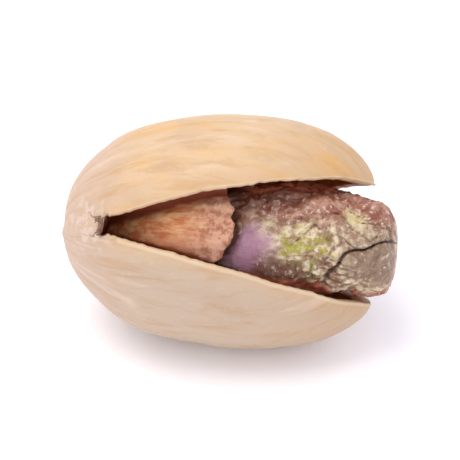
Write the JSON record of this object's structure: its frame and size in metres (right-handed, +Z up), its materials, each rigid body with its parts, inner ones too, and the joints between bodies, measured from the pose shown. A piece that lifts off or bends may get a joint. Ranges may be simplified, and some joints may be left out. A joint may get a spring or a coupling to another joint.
{
  "type": "pistachio in shell",
  "caption": "Split pistachio lying on one half of its gaping cream shell, with the wrinkled purple and green seed and the brown papery seed stalk showing inside.",
  "frame": {"origin": "on the surface that the nut lies on, under the middle of its footprint", "axes": "+Z up; +X along the nut from the stem end to the gaping tip; -Y is the side towards which the split opens upwards"},
  "size_m": [0.0214, 0.014, 0.0143],
  "materials": {
    "shell": "dry matte, smooth, cream with faint yellow blotches",
    "seed": "wrinkled skin, satin, purple-brown with green and beige patches",
    "seed_stalk": "dry papery fibre, matte brown"
  },
  "bodies": {
    "root": {"shell": "shell", "seed": "seed", "seed_stalk": "seed_stalk"}
  },
  "joints": []
}
